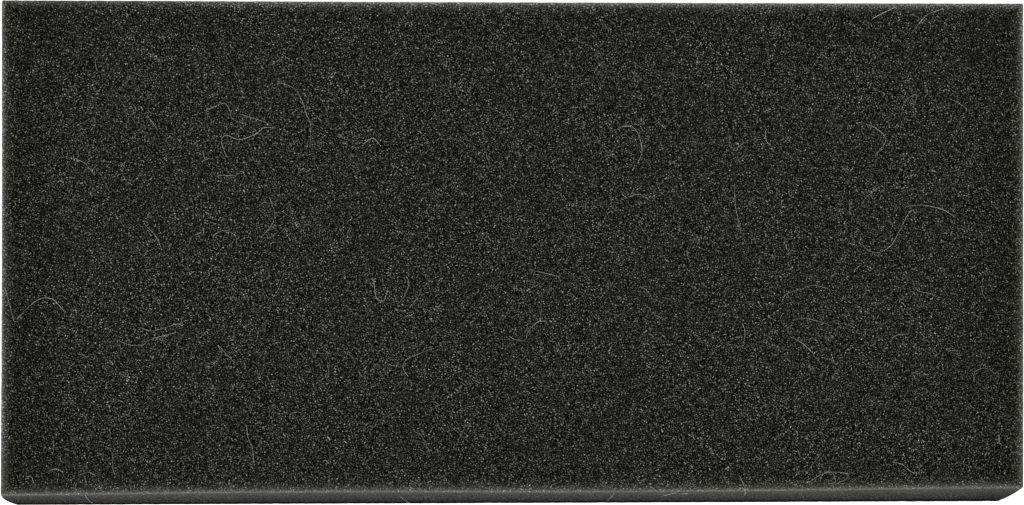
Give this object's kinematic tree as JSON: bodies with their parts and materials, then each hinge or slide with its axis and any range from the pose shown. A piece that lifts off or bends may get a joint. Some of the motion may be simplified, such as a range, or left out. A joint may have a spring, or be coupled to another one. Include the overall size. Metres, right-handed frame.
{
  "type": "chalkboard eraser",
  "caption": "Hand-held chalkboard eraser with a thick charcoal foam wiping pad on a plywood-backed wooden handle with finger grooves and inset parking magnets.",
  "frame": {"origin": "middle of the back of the handle, which the eraser lies on with its wiping face up", "axes": "+X along the eraser, +Y across it towards the back long side, +Z from the back up to the wiping face"},
  "size_m": [0.125, 0.06, 0.0455],
  "materials": {
    "charcoal_foam": "matte",
    "adhesive_film": "satin",
    "birch_plywood": "matte",
    "beech": "satin",
    "zinc_plated_steel": "satin",
    "nickel_plated_steel": "satin",
    "ferrite": "matte"
  },
  "bodies": {
    "root": {"wiping_pad": "charcoal_foam", "adhesive_sheet": "adhesive_film", "backing_board": "birch_plywood", "handle": "beech", "board_screw_front_left": "zinc_plated_steel", "board_screw_back_left": "zinc_plated_steel", "board_screw_front_right": "zinc_plated_steel", "board_screw_back_right": "zinc_plated_steel", "magnet_cup_left": "nickel_plated_steel", "magnet_ring_left": "ferrite", "magnet_screw_left": "zinc_plated_steel", "magnet_cup_right": "nickel_plated_steel", "magnet_ring_right": "ferrite", "magnet_screw_right": "zinc_plated_steel"}
  },
  "joints": []
}
